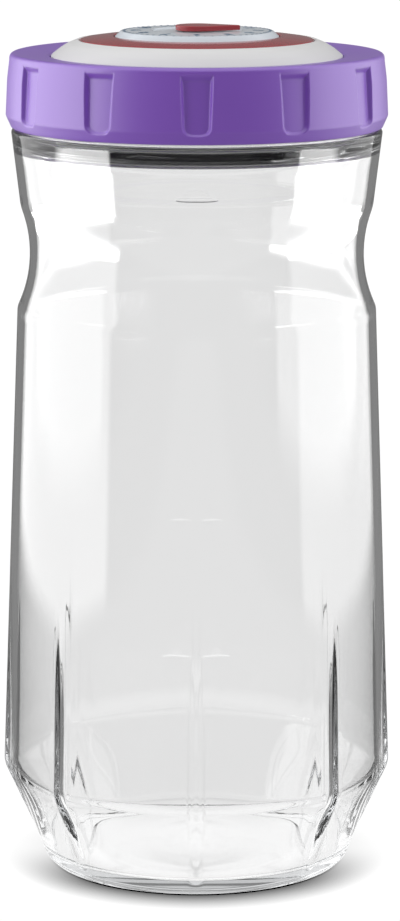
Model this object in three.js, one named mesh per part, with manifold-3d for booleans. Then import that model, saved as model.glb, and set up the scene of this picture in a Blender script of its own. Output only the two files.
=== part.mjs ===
// Clear storage jar with a purple screw ring, a white domed lid disc and a dial on top.
// Millimetres, +Z up. The origin is the middle of the foot, on the surface the jar stands on.
// The front, with the level marks, faces -Y.
import * as THREE from "three";
import { mergeVertices } from "three/addons/utils/BufferGeometryUtils.js";
import Module from "manifold-3d";

const wasm = await Module();
wasm.setup();

// Driving dimensions of the jar
const FOOT_RADIUS = 39.4;
const FOOT_INNER_RADIUS = 34.5;
const PUSH_UP = 1.9;
const FLOOR_THICKNESS = 3.0;
const FLOOR_DIP = 0.9;
const WALL = 2.0;
const INNER_CREASE_ROUND = 1.5;
const CREASE_Z = 24.8;
const TAPER_LOW_RADIUS = 51.9;
const TAPER_HIGH_RADIUS = 47.3;
const TAPER_TOP_Z = 149.6;
const WAIST_Z = 164.2;
const WAIST_RADIUS = 43.95;
const WAIST_ARC = 33;
const COLLAR_LOW_Z = 176.3;
const COLLAR_LOW_RADIUS = 46.25;
const COLLAR_TOP_RADIUS = 48.7;
const LEDGE_Z = 196.9;
const LEDGE_ROUND = 1.2;
const SHOULDER_LOW_Z = 191.4;
const SHOULDER_TOP_Z = 195.0;
const NECK_RADIUS = 43.4;
const NECK_BORE = 40.6;
const RIM_Z = 211.0;
const RIM_ROUND = 0.5;

// Chamfer above the foot: how fast the wall widens with height at a rib and beside it
const CHAMFER_FOOT_Z = 1.5;
const CHAMFER_FOOT_RADIUS = 40.9;
const CREST_CHAMFER = 0.463;
const PANEL_CHAMFER = 0.4;
const CREST_ROUND = 0.9;
const PANEL_ROUND = 0.35;

// Ribs and the flattened panels between them
const RIB_COUNT = 8;
const RIB_HEIGHT = 1.6;
const RIB_TOP_Z = 82;
const RIB_FOOT_Z = 4;
const RIB_CREST_DEG = 0.95;
const RIB_BASE_DEG = 2.35;
const PANEL_STEPS = 4;
const PANEL_FLAT = 1.0;
const PANEL_TOP_Z = 100;

// Level marks on the front: height, half angle and the gap's half angle
const MARK_RELIEF = 0.4;
const MARK_HEIGHT = 1.25;
const LEVEL_MARKS = [
  { z: 183.4, half: 6.4, gap: 0 },
  { z: 101.8, half: 7.6, gap: 1.5 },
  { z: 66.5, half: 10.0, gap: 1.7 },
];

// Screw threads of the neck and the ring
const THREAD_PITCH = 4.5;
const THREAD_TURNS = 1.4;
const THREAD_START_Z = 201.0;
const THREAD_BASE = 2.2;
const THREAD_CREST = 1.0;
const NECK_THREAD_RADIUS = 44.4;
const RING_BORE = 45.1;
const RING_THREAD_RADIUS = 44.0;
const THREAD_ROOT = 0.4;
const THREAD_STEPS = 40;
const THREAD_FADE_STEPS = 4;

// Screw ring
const RING_BOTTOM_Z = 197.25;
const RING_LOW_RADIUS = 48.6;
const RING_WIDE_Z = 200.4;
const RING_WIDE_RADIUS = 50.0;
const RING_MID_Z = 210.0;
const RING_MID_RADIUS = 49.55;
const RING_TOP_Z = 216.5;
const RING_TOP_RADIUS = 48.75;
const RING_TOP_ROUND = 1.2;
const RING_LIP_Z = 215.7;
const RING_LIP_RADIUS = 38.4;
const RING_LIP_ROUND = 0.7;
const FLANGE_UNDER_Z = 213.6;
const GRIP_COUNT = 12;
const GRIP_TOP_WIDTH = 8.7;
const GRIP_LOW_WIDTH = 7.4;
const GRIP_LOW_Z = 199.1;
const GRIP_TOP_Z = 215.0;
const GRIP_DEPTH = 1.3;
const GRIP_CORNER = 2.6;
const GRIP_SLOPE = 0.7;
const GRIP_OVERRUN = 3;
const GRIP_WALL_BULGE = 0.25;

// Lid disc and dial
const GAP = 0.3;
const DISC_RADIUS = RING_LIP_RADIUS - 0.35;
const DISC_EDGE_Z = 215.2;
const DISC_FLANGE_RADIUS = 44.5;
const PLUG_RADIUS = NECK_BORE - 0.35;
const PLUG_WALL = 2.0;
const PLUG_LOW_Z = 203.5;
const PLUG_TOP_Z = 210.5;
const PLUG_LEAD_IN = 0.4;
const DISC_EDGE_ROUND = 0.5;
const DISC_DOME = [
  [36.0, 217.35],
  [33.8, 218.75],
  [31.8, 219.55],
];
const DISC_UNDERSIDE_RADIUS = 33.5;
const DISC_UNDERSIDE_Z = 215.0;
const DISC_THICKNESS = 1.9;
const DIAL_SEAT_Z = 218.8;
const DIAL_RADIUS = 30.45;
const DIAL_EDGE_Z = 219.8;
const BAND_INNER_RADIUS = 21.7;
const BAND_INNER_Z = 220.75;
const BAND_BEND = 1.6;
const PLATE_EDGE_Z = 220.6;
const PLATE_RIM_RADIUS = 19.9;
const PLATE_RIM_Z = 222.0;
const PLATE_TOP_Z = 222.3;
const POINTER_RADIUS = 5.6;
const POINTER_TIP = 11.2;
const POINTER_TOP_Z = 223.5;
const POINTER_LOW_Z = 222.2;
const POINTER_BEVEL = 0.3;
const POINTER_SEAT_RADIUS = POINTER_TIP + 0.6;

// Heights of the profile's points along the body, closer where the wall bends
const LOWER_ROWS = [5, 12, 18, 22.5, 24.8, 27, 31, 38, 47, 58, 72, 100];
const WAIST_ROWS = [152.5, 156, 160, 164.2, 168.5, 172.5];
const INNER_WAIST_ROWS = [153.5, 158.5, 164.2, 170.5];
const LATHE_STEPS = 60;
const LID_STEPS = 48;
const SECTOR = 360 / RIB_COUNT;
const rad = THREE.MathUtils.degToRad;

// Turns geometry made about +Y so that its axis is +Z
function standUp(geometry) {
  return geometry.rotateX(Math.PI / 2);
}

function lathe(profile, steps = LATHE_STEPS) {
  const points = profile.map(([r, z]) => new THREE.Vector2(r, z));
  return standUp(new THREE.LatheGeometry(points, steps));
}

function toSolid(geometry) {
  const bare = geometry.clone();
  bare.deleteAttribute("normal");
  bare.deleteAttribute("uv");
  const merged = mergeVertices(bare, 1e-4);
  const vertProperties = new Float32Array(merged.attributes.position.array);
  const triVerts = new Uint32Array(merged.index.array);
  return new wasm.Manifold(new wasm.Mesh({ numProp: 3, vertProperties, triVerts }));
}

function toGeometry(solid) {
  const mesh = solid.getMesh();
  const geometry = new THREE.BufferGeometry();
  geometry.setAttribute("position", new THREE.BufferAttribute(mesh.vertProperties, 3));
  geometry.setIndex(new THREE.BufferAttribute(mesh.triVerts, 1));
  geometry.computeVertexNormals();
  return geometry;
}

function smoothStep(value) {
  const t = THREE.MathUtils.clamp(value, 0, 1);
  return t * t * (3 - 2 * t);
}

// The lower of two values, with the corner between them rounded over a width
function softMin(a, b, width) {
  const reach = Math.max(width - Math.abs(a - b), 0) / width;
  return Math.min(a, b) - (reach * reach * width) / 4;
}

// Points of a circular arc in the (r, z) plane, both ends included
function arcPoints(centreR, centreZ, radius, fromDeg, toDeg, count) {
  const points = [];
  for (let i = 0; i <= count; i += 1) {
    const angle = rad(fromDeg + ((toDeg - fromDeg) * i) / count);
    points.push([centreR + radius * Math.cos(angle), centreZ + radius * Math.sin(angle)]);
  }
  return points;
}

// Radius of the tapered body, of which only the rib crests are left near the foot
function taperRadius(z) {
  const share = (z - CREASE_Z) / (TAPER_TOP_Z - CREASE_Z);
  return THREE.MathUtils.lerp(TAPER_LOW_RADIUS, TAPER_HIGH_RADIUS, share);
}

function ribHeight(z) {
  return RIB_HEIGHT * smoothStep((RIB_TOP_Z - z) / (RIB_TOP_Z - CREASE_Z));
}

// Radius on top of a rib
function crestRadius(z) {
  const chamfer = CHAMFER_FOOT_RADIUS + CREST_CHAMFER * (z - CHAMFER_FOOT_Z);
  return softMin(chamfer, taperRadius(z), CREST_ROUND);
}

// Radius of the wall beside a rib
function wallRadius(z) {
  const chamfer = CHAMFER_FOOT_RADIUS + PANEL_CHAMFER * (z - CHAMFER_FOOT_Z);
  const wall = softMin(chamfer, taperRadius(z) - ribHeight(z), PANEL_ROUND);
  return Math.min(wall, crestRadius(z));
}

// How far the middle of a panel lies inside the round
function panelDepth(z) {
  const fadeUp = smoothStep((PANEL_TOP_Z - z) / (PANEL_TOP_Z - CREASE_Z));
  const fadeDown = smoothStep((z - RIB_FOOT_Z) / (CREASE_Z - RIB_FOOT_Z));
  return PANEL_FLAT * fadeUp * fadeDown;
}

// Angles of one sector, from one rib's near side to the next rib
function sectorAngles() {
  const angles = [-RIB_BASE_DEG, -RIB_CREST_DEG, RIB_CREST_DEG, RIB_BASE_DEG];
  const width = SECTOR - 2 * RIB_BASE_DEG;
  for (let i = 1; i <= PANEL_STEPS; i += 1) {
    angles.push(RIB_BASE_DEG + (width * i) / (PANEL_STEPS + 1));
  }
  return angles;
}

// Radius of the outer wall at a height and at an angle from the nearest rib before it
function outerRadius(z, angleDeg) {
  if (z > PANEL_TOP_Z || z < RIB_FOOT_Z) {
    return null;
  }
  const fromRib = Math.min(Math.abs(angleDeg), Math.abs(SECTOR - angleDeg));
  const rise = (RIB_BASE_DEG - fromRib) / (RIB_BASE_DEG - RIB_CREST_DEG);
  const onRib = THREE.MathUtils.clamp(rise, 0, 1);
  const across = (fromRib - RIB_BASE_DEG) / (SECTOR / 2 - RIB_BASE_DEG);
  const bow = across > 0 ? 1 - (1 - across) ** 2 : 0;
  const wall = wallRadius(z);
  return wall + onRib * (crestRadius(z) - wall) - bow * panelDepth(z);
}

function waistRadius(z, offset) {
  const arc = WAIST_ARC + offset;
  return WAIST_RADIUS - offset + arc - Math.sqrt(arc ** 2 - (z - WAIST_Z) ** 2);
}

function collarRadius(z) {
  const share = (z - COLLAR_LOW_Z) / (LEDGE_Z - COLLAR_LOW_Z);
  return THREE.MathUtils.lerp(COLLAR_LOW_RADIUS, COLLAR_TOP_RADIUS, share);
}

function outerProfile() {
  const foot = [
    [0, PUSH_UP],
    [FOOT_INNER_RADIUS - 6, PUSH_UP - 0.6],
    [FOOT_INNER_RADIUS, 0],
    [FOOT_RADIUS, 0],
    [FOOT_RADIUS + 1.0, 0.45],
    [CHAMFER_FOOT_RADIUS, CHAMFER_FOOT_Z],
  ];
  const lower = LOWER_ROWS.map((z) => [wallRadius(z), z]);
  const waist = WAIST_ROWS.map((z) => [waistRadius(z, 0), z]);
  const ledgeRoundZ = LEDGE_Z - LEDGE_ROUND;
  const ledgeRoundR = collarRadius(ledgeRoundZ) - LEDGE_ROUND;
  const neck = [
    [NECK_RADIUS, LEDGE_Z],
    [NECK_RADIUS, RIM_Z - RIM_ROUND],
    [NECK_RADIUS - RIM_ROUND, RIM_Z],
    [NECK_BORE + RIM_ROUND, RIM_Z],
    [NECK_BORE, RIM_Z - RIM_ROUND],
  ];
  return [
    ...foot,
    ...lower,
    [taperRadius(TAPER_TOP_Z), TAPER_TOP_Z],
    ...waist,
    [COLLAR_LOW_RADIUS, COLLAR_LOW_Z],
    ...arcPoints(ledgeRoundR, ledgeRoundZ, LEDGE_ROUND, 0, 90, 3),
    ...neck,
  ];
}

// The inside of the jar is round all the way down
function innerProfile() {
  const wallTop = taperRadius(TAPER_TOP_Z) - WALL;
  const creaseInner = TAPER_LOW_RADIUS - RIB_HEIGHT - PANEL_FLAT - WALL;
  const floorZ = PUSH_UP + FLOOR_THICKNESS;
  const chamferLow = CHAMFER_FOOT_RADIUS - PANEL_FLAT;
  const waist = INNER_WAIST_ROWS.map((z) => [waistRadius(z, WALL), z]);
  return [
    [NECK_BORE, SHOULDER_TOP_Z],
    [collarRadius(SHOULDER_LOW_Z) - WALL, SHOULDER_LOW_Z],
    [COLLAR_LOW_RADIUS - WALL, COLLAR_LOW_Z],
    ...waist.reverse(),
    [wallTop, TAPER_TOP_Z],
    [taperRadius(RIB_TOP_Z) - WALL - 0.2, RIB_TOP_Z],
    [creaseInner, 1.5 * CREASE_Z],
    [creaseInner - 0.15, CREASE_Z + INNER_CREASE_ROUND],
    [creaseInner - 1.0, CREASE_Z - INNER_CREASE_ROUND],
    [chamferLow, floorZ + 1.7],
    [chamferLow - 1.0, floorZ],
    [chamferLow - 3.6, floorZ - FLOOR_DIP],
    [0, floorZ],
  ];
}

// Sets the lathe's even steps at the ribs' edges and raises the ribs on the outer wall
function shapeRibs(geometry, outerRows) {
  const angles = sectorAngles();
  const position = geometry.attributes.position;
  const rows = position.count / (RIB_COUNT * angles.length + 1);
  for (let i = 0; i < position.count; i += 1) {
    const step = Math.floor(i / rows);
    const row = i % rows;
    const inSector = angles[step % angles.length];
    const angle = rad(Math.floor(step / angles.length) * SECTOR + inSector);
    const z = position.getZ(i);
    const plain = Math.hypot(position.getX(i), position.getY(i));
    const ribbed = row < outerRows ? outerRadius(z, inSector) : null;
    const r = ribbed ?? plain;
    position.setXYZ(i, r * Math.sin(angle), -r * Math.cos(angle), z);
  }
  return geometry;
}

// A raised bar that follows the wall, centred on an angle from the front
function levelBar(radius, z, fromDeg, toDeg) {
  const front = -Math.PI / 2;
  const shape = new THREE.Shape();
  shape.absarc(0, 0, radius + MARK_RELIEF, front + rad(fromDeg), front + rad(toDeg), false);
  shape.absarc(0, 0, radius - MARK_RELIEF, front + rad(toDeg), front + rad(fromDeg), true);
  const bar = new THREE.ExtrudeGeometry(shape, {
    depth: MARK_HEIGHT,
    bevelEnabled: false,
    curveSegments: 4,
  });
  return bar.translate(0, 0, z - MARK_HEIGHT / 2);
}

function levelBars() {
  return LEVEL_MARKS.flatMap(({ z, half, gap }) => {
    const radius = z > WAIST_Z ? collarRadius(z) : taperRadius(z) - ribHeight(z);
    if (gap === 0) {
      return [levelBar(radius, z, -half, half)];
    }
    return [levelBar(radius, z, -half, -gap), levelBar(radius, z, gap, half)];
  });
}

// One helix of ridge: a trapezoid carried round the axis, thinned away at both ends
function threadRidge(rootRadius, tipRadius, startZ, startDeg) {
  const steps = THREAD_STEPS;
  const sides = 4;
  const positions = [];
  for (let i = 0; i <= steps; i += 1) {
    const turn = (THREAD_TURNS * i) / steps;
    const angle = rad(startDeg) + turn * 2 * Math.PI;
    const ease = smoothStep((Math.min(i, steps - i) + 1) / THREAD_FADE_STEPS);
    const crest = THREE.MathUtils.lerp(rootRadius, tipRadius, ease);
    const z = startZ + turn * THREAD_PITCH;
    const section = [
      [rootRadius, z - THREAD_BASE / 2],
      [crest, z - THREAD_CREST / 2],
      [crest, z + THREAD_CREST / 2],
      [rootRadius, z + THREAD_BASE / 2],
    ];
    if (tipRadius < rootRadius) {
      section.reverse();
    }
    section.forEach(([r, height]) => {
      positions.push(r * Math.cos(angle), r * Math.sin(angle), height);
    });
  }
  const index = [];
  for (let i = 0; i < steps; i += 1) {
    for (let k = 0; k < sides; k += 1) {
      const a = i * sides + k;
      const b = i * sides + ((k + 1) % sides);
      index.push(a, b + sides, b, a, a + sides, b + sides);
    }
  }
  const last = steps * sides;
  index.push(0, 1, 2, 0, 2, 3, last, last + 2, last + 1, last, last + 3, last + 2);
  const geometry = new THREE.BufferGeometry();
  geometry.setAttribute("position", new THREE.Float32BufferAttribute(positions, 3));
  geometry.setIndex(index);
  return geometry;
}

function jarBody() {
  const outer = outerProfile();
  const profile = [...outer, ...innerProfile()];
  const steps = RIB_COUNT * sectorAngles().length;
  let solid = toSolid(shapeRibs(lathe(profile, steps), outer.length));
  levelBars().forEach((bar) => {
    solid = solid.add(toSolid(bar));
  });
  const thread = threadRidge(NECK_RADIUS - THREAD_ROOT, NECK_THREAD_RADIUS, THREAD_START_Z, 0);
  return toGeometry(solid.add(toSolid(thread)));
}

// Cutter of one grip recess: a rounded U that ends under the rim, whose sides slope out
function gripCutter() {
  const top = GRIP_TOP_WIDTH / 2 - GRIP_SLOPE;
  const low = GRIP_LOW_WIDTH / 2 - GRIP_SLOPE;
  const bottom = GRIP_LOW_Z + GRIP_SLOPE;
  const upper = GRIP_TOP_Z - GRIP_SLOPE;
  const shape = new THREE.Shape();
  shape.moveTo(-top, upper);
  shape.lineTo(-low, bottom + GRIP_CORNER);
  shape.quadraticCurveTo(-low, bottom, -low + GRIP_CORNER, bottom);
  shape.lineTo(low - GRIP_CORNER, bottom);
  shape.quadraticCurveTo(low, bottom, low, bottom + GRIP_CORNER);
  shape.lineTo(top, upper);
  shape.closePath();
  const cutter = new THREE.ExtrudeGeometry(shape, {
    depth: GRIP_OVERRUN,
    bevelThickness: GRIP_DEPTH,
    bevelSize: GRIP_SLOPE,
    bevelSegments: 1,
    curveSegments: 4,
  });
  // The extrusion runs out from the floor of the recess, which leans in like the ring's wall
  const lean = Math.atan((RING_WIDE_RADIUS - RING_TOP_RADIUS) / (RING_TOP_Z - RING_WIDE_Z));
  const midZ = (RING_TOP_Z + RING_WIDE_Z) / 2;
  const wallRadiusAtMid = (RING_TOP_RADIUS + RING_WIDE_RADIUS) / 2 + GRIP_WALL_BULGE;
  cutter.translate(0, -midZ, 0);
  cutter.rotateX(Math.PI / 2);
  cutter.rotateX(-lean);
  return cutter.translate(0, -wallRadiusAtMid, midZ);
}

function screwRing() {
  const topRoundR = RING_TOP_RADIUS - RING_TOP_ROUND;
  const topRoundZ = RING_TOP_Z - RING_TOP_ROUND;
  const lipRoundR = RING_LIP_RADIUS + RING_LIP_ROUND;
  const lipRoundZ = RING_LIP_Z - RING_LIP_ROUND;
  const profile = [
    [RING_BORE, RING_BOTTOM_Z],
    [RING_LOW_RADIUS, RING_BOTTOM_Z],
    [RING_WIDE_RADIUS, RING_WIDE_Z],
    [RING_WIDE_RADIUS, RING_WIDE_Z + 3],
    [RING_MID_RADIUS, RING_MID_Z],
    ...arcPoints(topRoundR, topRoundZ, RING_TOP_ROUND, 0, 90, 3),
    ...arcPoints(lipRoundR, lipRoundZ, RING_LIP_ROUND, 90, 180, 2),
    [RING_LIP_RADIUS, FLANGE_UNDER_Z],
    [RING_BORE, FLANGE_UNDER_Z],
    [RING_BORE, RING_BOTTOM_Z],
  ];
  let solid = toSolid(lathe(profile));
  for (let i = 0; i < GRIP_COUNT; i += 1) {
    solid = solid.subtract(toSolid(gripCutter().rotateZ((i * 2 * Math.PI) / GRIP_COUNT)));
  }
  const threadZ = THREAD_START_Z + THREAD_PITCH / 2;
  const thread = threadRidge(RING_BORE + THREAD_ROOT, RING_THREAD_RADIUS, threadZ, 0);
  return toGeometry(solid.add(toSolid(thread)));
}

function lidDisc() {
  const flangeTop = FLANGE_UNDER_Z - GAP;
  const flangeLow = RIM_Z + GAP;
  const profile = [
    [0, DIAL_SEAT_Z - DISC_THICKNESS],
    [DISC_UNDERSIDE_RADIUS, DISC_UNDERSIDE_Z],
    [PLUG_RADIUS - PLUG_WALL, PLUG_TOP_Z],
    [PLUG_RADIUS - PLUG_WALL, PLUG_LOW_Z],
    [PLUG_RADIUS - PLUG_LEAD_IN, PLUG_LOW_Z],
    [PLUG_RADIUS, flangeLow],
    [DISC_FLANGE_RADIUS, flangeLow],
    [DISC_FLANGE_RADIUS, flangeTop],
    [DISC_RADIUS, flangeTop],
    [DISC_RADIUS, DISC_EDGE_Z],
    [DISC_RADIUS - DISC_EDGE_ROUND, DISC_EDGE_Z + DISC_EDGE_ROUND],
    ...DISC_DOME,
    [DIAL_RADIUS + 2 * GAP, DIAL_EDGE_Z],
    [DIAL_RADIUS + GAP, DIAL_SEAT_Z],
    [0, DIAL_SEAT_Z],
  ];
  return lathe(profile, LID_STEPS);
}

// The band round the dial: flat below, and falling faster and faster towards its outer edge
function dialBand() {
  const low = DIAL_SEAT_Z + GAP;
  const steps = 3;
  const top = [];
  for (let i = steps; i >= 0; i -= 1) {
    const share = i / steps;
    const r = THREE.MathUtils.lerp(BAND_INNER_RADIUS, DIAL_RADIUS, share);
    top.push([r, THREE.MathUtils.lerp(BAND_INNER_Z, DIAL_EDGE_Z, share ** BAND_BEND)]);
  }
  return lathe([[BAND_INNER_RADIUS, low], [DIAL_RADIUS, low], ...top, [BAND_INNER_RADIUS, low]], LID_STEPS);
}

function teardropShape(round, tip) {
  const half = Math.acos(round / tip);
  const shape = new THREE.Shape();
  shape.moveTo(tip, 0);
  shape.lineTo(round * Math.cos(half), round * Math.sin(half));
  shape.absarc(0, 0, round, half, 2 * Math.PI - half, false);
  shape.closePath();
  return shape;
}

// The pointer in the middle of the dial, a round knob drawn out to a tip
function dialPointer() {
  const shape = teardropShape(POINTER_RADIUS - POINTER_BEVEL, POINTER_TIP - 2 * POINTER_BEVEL);
  const pointer = new THREE.ExtrudeGeometry(shape, {
    depth: POINTER_TOP_Z - POINTER_LOW_Z - 2 * POINTER_BEVEL,
    bevelThickness: POINTER_BEVEL,
    bevelSize: POINTER_BEVEL,
    bevelSegments: 2,
    curveSegments: 12,
  });
  return pointer.translate(0, 0, POINTER_LOW_Z + POINTER_BEVEL);
}

// The raised plate under the pointer: a bevelled rim and a faint dome with a flat round seat
function dialPlate() {
  const low = DIAL_SEAT_Z + GAP;
  const outer = BAND_INNER_RADIUS - GAP;
  const seatZ = POINTER_LOW_Z - GAP;
  const seatShare = (POINTER_SEAT_RADIUS / PLATE_RIM_RADIUS) ** 2;
  const profile = [
    [0, low],
    [outer, low],
    [outer, PLATE_EDGE_Z],
    [PLATE_RIM_RADIUS, PLATE_RIM_Z],
    [POINTER_SEAT_RADIUS, THREE.MathUtils.lerp(PLATE_TOP_Z, PLATE_RIM_Z, seatShare)],
    [POINTER_SEAT_RADIUS - 0.2, seatZ],
    [0, seatZ],
  ];
  return lathe(profile, LID_STEPS);
}

const clearPlastic = new THREE.MeshStandardMaterial({
  color: 0xe4ecec,
  roughness: 0.05,
  metalness: 0,
  transparent: true,
  opacity: 0.35,
});
const purplePlastic = new THREE.MeshStandardMaterial({ color: 0x6a3fae, roughness: 0.35, metalness: 0 });
const whitePlastic = new THREE.MeshStandardMaterial({ color: 0xeeeeec, roughness: 0.3, metalness: 0 });
const redPlastic = new THREE.MeshStandardMaterial({ color: 0xb4534a, roughness: 0.35, metalness: 0 });
const platePlastic = new THREE.MeshStandardMaterial({ color: 0xdde4ee, roughness: 0.25, metalness: 0 });

const jar = new THREE.Group();

function addPiece(name, geometry, material) {
  const mesh = new THREE.Mesh(geometry, material);
  mesh.name = name;
  jar.add(mesh);
}

addPiece("jar_body", jarBody(), clearPlastic);
addPiece("screw_ring", screwRing(), purplePlastic);
addPiece("lid_disc", lidDisc(), whitePlastic);
addPiece("dial_band", dialBand(), redPlastic);
addPiece("dial_plate", dialPlate(), platePlastic);
addPiece("dial_pointer", dialPointer(), redPlastic.clone());

export default jar;
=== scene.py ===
"""Clear storage jar with a purple grip ring and a domed lid with a numbered dial.

Run as a script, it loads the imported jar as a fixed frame, makes each piece's fine surface and
finish round it, and sets the studio and the camera. Sizes are in metres, +Z up, front towards -Y.
"""

import math

import bpy
from bpy.props import FloatProperty, FloatVectorProperty, IntProperty, PointerProperty
from mathutils import Euler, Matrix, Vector


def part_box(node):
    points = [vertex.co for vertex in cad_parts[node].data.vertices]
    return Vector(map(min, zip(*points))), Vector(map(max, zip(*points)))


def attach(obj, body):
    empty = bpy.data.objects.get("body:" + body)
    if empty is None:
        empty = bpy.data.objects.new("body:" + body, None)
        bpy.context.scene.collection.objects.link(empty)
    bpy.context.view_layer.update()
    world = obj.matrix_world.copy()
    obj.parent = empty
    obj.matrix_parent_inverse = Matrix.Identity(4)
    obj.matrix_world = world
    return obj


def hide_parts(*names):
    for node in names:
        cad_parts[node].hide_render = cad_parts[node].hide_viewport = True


bl_info = {
    "name": "Storage jar",
    "version": (1, 0, 0),
    "blender": (4, 5, 0),
    "location": "3D View > Sidebar > Storage jar",
    "description": "Makes a clear storage jar with a grip ring and a dial lid",
    "category": "Object",
}

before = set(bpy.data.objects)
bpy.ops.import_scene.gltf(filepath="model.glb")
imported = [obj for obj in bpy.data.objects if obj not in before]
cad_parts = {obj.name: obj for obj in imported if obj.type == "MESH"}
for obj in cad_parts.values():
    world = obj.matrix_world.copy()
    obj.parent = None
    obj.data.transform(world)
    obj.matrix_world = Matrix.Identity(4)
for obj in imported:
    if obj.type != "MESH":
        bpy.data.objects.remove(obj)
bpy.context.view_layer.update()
BODY = "root"
MM = 0.001

JAR_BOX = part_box("jar_body")
RING_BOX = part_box("screw_ring")
DISC_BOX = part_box("lid_disc")
BAND_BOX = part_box("dial_band")
PLATE_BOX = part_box("dial_plate")
POINTER_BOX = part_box("dial_pointer")


def length(name, description, default):
    """A length property, in metres."""
    return FloatProperty(name=name, description=description, default=default, unit="LENGTH", precision=5)


def angle(name, description, degrees):
    """An angle property, given in degrees and kept in radians."""
    return FloatProperty(
        name=name, description=description, default=math.radians(degrees), subtype="ANGLE"
    )


def colour(name, description, default):
    """A linear colour property without alpha."""
    return FloatVectorProperty(
        name=name, description=description, default=default, size=3, subtype="COLOR", min=0, max=1
    )


def number(name, description, default):
    """A plain number property."""
    return FloatProperty(name=name, description=description, default=default, precision=4)


class JarBodySettings(bpy.types.PropertyGroup):
    """Sizes of the clear body."""

    foot_radius: length("Foot radius", "Outer radius of the foot ring", 0.0394)
    foot_inner: length("Foot inner radius", "Inner radius of the foot ring", 0.0345)
    push_up: length("Push-up", "Height of the hollow under the floor", 0.0019)
    floor_thickness: length("Floor", "Thickness of the floor", 0.003)
    wall: length("Wall", "Thickness of the wall", 0.002)
    chamfer_foot_z: length("Chamfer start", "Height at which the chamfer starts", 0.0015)
    chamfer_foot_radius: length("Chamfer radius", "Radius at which the chamfer starts", 0.0409)
    crest_chamfer: number("Rib chamfer", "Widening of the chamfer with height at a rib", 0.463)
    panel_chamfer: number("Panel chamfer", "Widening of the chamfer with height at a panel", 0.4)
    crease_z: length("Crease", "Height of the crease over the chamfer", 0.0248)
    taper_low: length("Taper low radius", "Radius of the taper at the crease", 0.05188)
    taper_high: length("Taper high radius", "Radius of the taper under the waist", 0.0473)
    taper_top_z: length("Taper top", "Height at which the waist starts", 0.1496)
    waist_z: length("Waist", "Height of the waist's narrowest ring", 0.1642)
    waist_radius: length("Waist radius", "Radius of the waist", 0.04395)
    waist_arc: length("Waist arc", "Radius of the waist's hollow in section", 0.033)
    collar_low_z: length("Collar low", "Height at which the collar starts", 0.1763)
    collar_low: length("Collar low radius", "Radius of the collar at its lower end", 0.04625)
    collar_top: length("Collar top radius", "Radius of the collar at the ledge", 0.0487)
    ledge_z: length("Ledge", "Height of the ledge under the ring", 0.1969)
    ledge_round: length("Ledge rounding", "Rounding of the ledge's outer edge", 0.0012)
    shoulder_low_z: length("Shoulder low", "Height at which the inside starts to narrow", 0.1914)
    shoulder_top_z: length("Shoulder top", "Height at which the inside reaches the bore", 0.195)
    neck_radius: length("Neck radius", "Outer radius of the threaded neck", 0.0434)
    neck_bore: length("Neck bore", "Inner radius of the neck", 0.0406)
    inner_foot_z: length("Inner foot", "Height at which the inside starts to round into the floor", 0.0075)
    rib_count: IntProperty(name="Ribs", description="Ribs round the lower body", default=8)
    rib_height: length("Rib height", "How far a rib stands out at the crease", 0.0016)
    rib_top_z: length("Rib top", "Height at which the ribs end", 0.082)
    rib_foot_z: length("Rib foot", "Height at which the ribs start", 0.004)
    rib_crest: angle("Rib crest", "Half angle of a rib's flat top", 0.45)
    rib_base: angle("Rib base", "Half angle of a rib's base", 3.1)
    panel_flat: length("Panel flat", "How far the middle of a panel lies in", 0.001)
    panel_top_z: length("Panel top", "Height at which the panels end", 0.1)
    mark_relief: length("Mark relief", "How far a level mark stands out", 0.0009)
    mark_height: length("Mark height", "Height of a level mark", 0.00125)
    clear: colour("Clear plastic", "Tint of the surface", (1.0, 1.0, 1.0))
    absorbed: colour("Depth tint", "Colour left after light has crossed the wall", (0.90, 0.905, 0.91))
    density: number("Depth density", "Absorption for each metre of wall", 35.0)
    refraction: number("Refraction", "Index of refraction of the clear plastic", 1.53)


class ScrewRingSettings(bpy.types.PropertyGroup):
    """Sizes of the grip ring."""

    bore: length("Bore", "Inner radius of the ring", 0.0451)
    low_radius: length("Low radius", "Outer radius at the lower edge", 0.0486)
    wide_z: length("Widest height", "Height of the ring's widest part", 0.2004)
    wide_radius: length("Widest radius", "Radius of the ring's widest part", 0.05)
    mid_z: length("Middle height", "Height at which the wall starts to lean in", 0.21)
    mid_radius: length("Middle radius", "Radius at that height", 0.04955)
    top_z: length("Shoulder height", "Height of the ring's outer top edge", 0.2165)
    top_radius: length("Shoulder radius", "Radius of the outer top edge", 0.04875)
    top_round: length("Shoulder rounding", "Rounding of the outer top edge", 0.0012)
    lip_z: length("Lip height", "Height of the edge of the opening in the top", 0.2157)
    lip_radius: length("Lip radius", "Radius of the opening in the top", 0.0384)
    lip_round: length("Lip rounding", "Rounding of the opening's edge", 0.0007)
    flange_z: length("Flange height", "Height of the top's underside", 0.2136)
    grip_count: IntProperty(name="Grips", description="Recesses round the ring", default=12)
    grip_top: length("Grip top width", "Width of a recess at the top", 0.0087)
    grip_low: length("Grip low width", "Width of a recess near its bottom", 0.0074)
    grip_low_z: length("Grip bottom", "Height of the bottom of a recess", 0.1991)
    grip_top_z: length("Grip top", "Height at which a recess closes under the rim", 0.215)
    grip_depth: length("Grip depth", "Depth of a recess", 0.0013)
    wall_bulge: length("Wall bulge", "How far the wall bulges out over a straight slope", 0.00025)
    grip_corner: length("Grip corner", "Rounding of a recess's lower corners", 0.0026)
    grip_side: length("Grip side", "Width over which a recess's side falls", 0.0009)
    grip_fade: length("Grip fade", "Height over which a recess fades out at its top", 0.0022)
    purple: colour("Purple", "Colour of the ring", (0.2, 0.03, 0.57))


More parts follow.
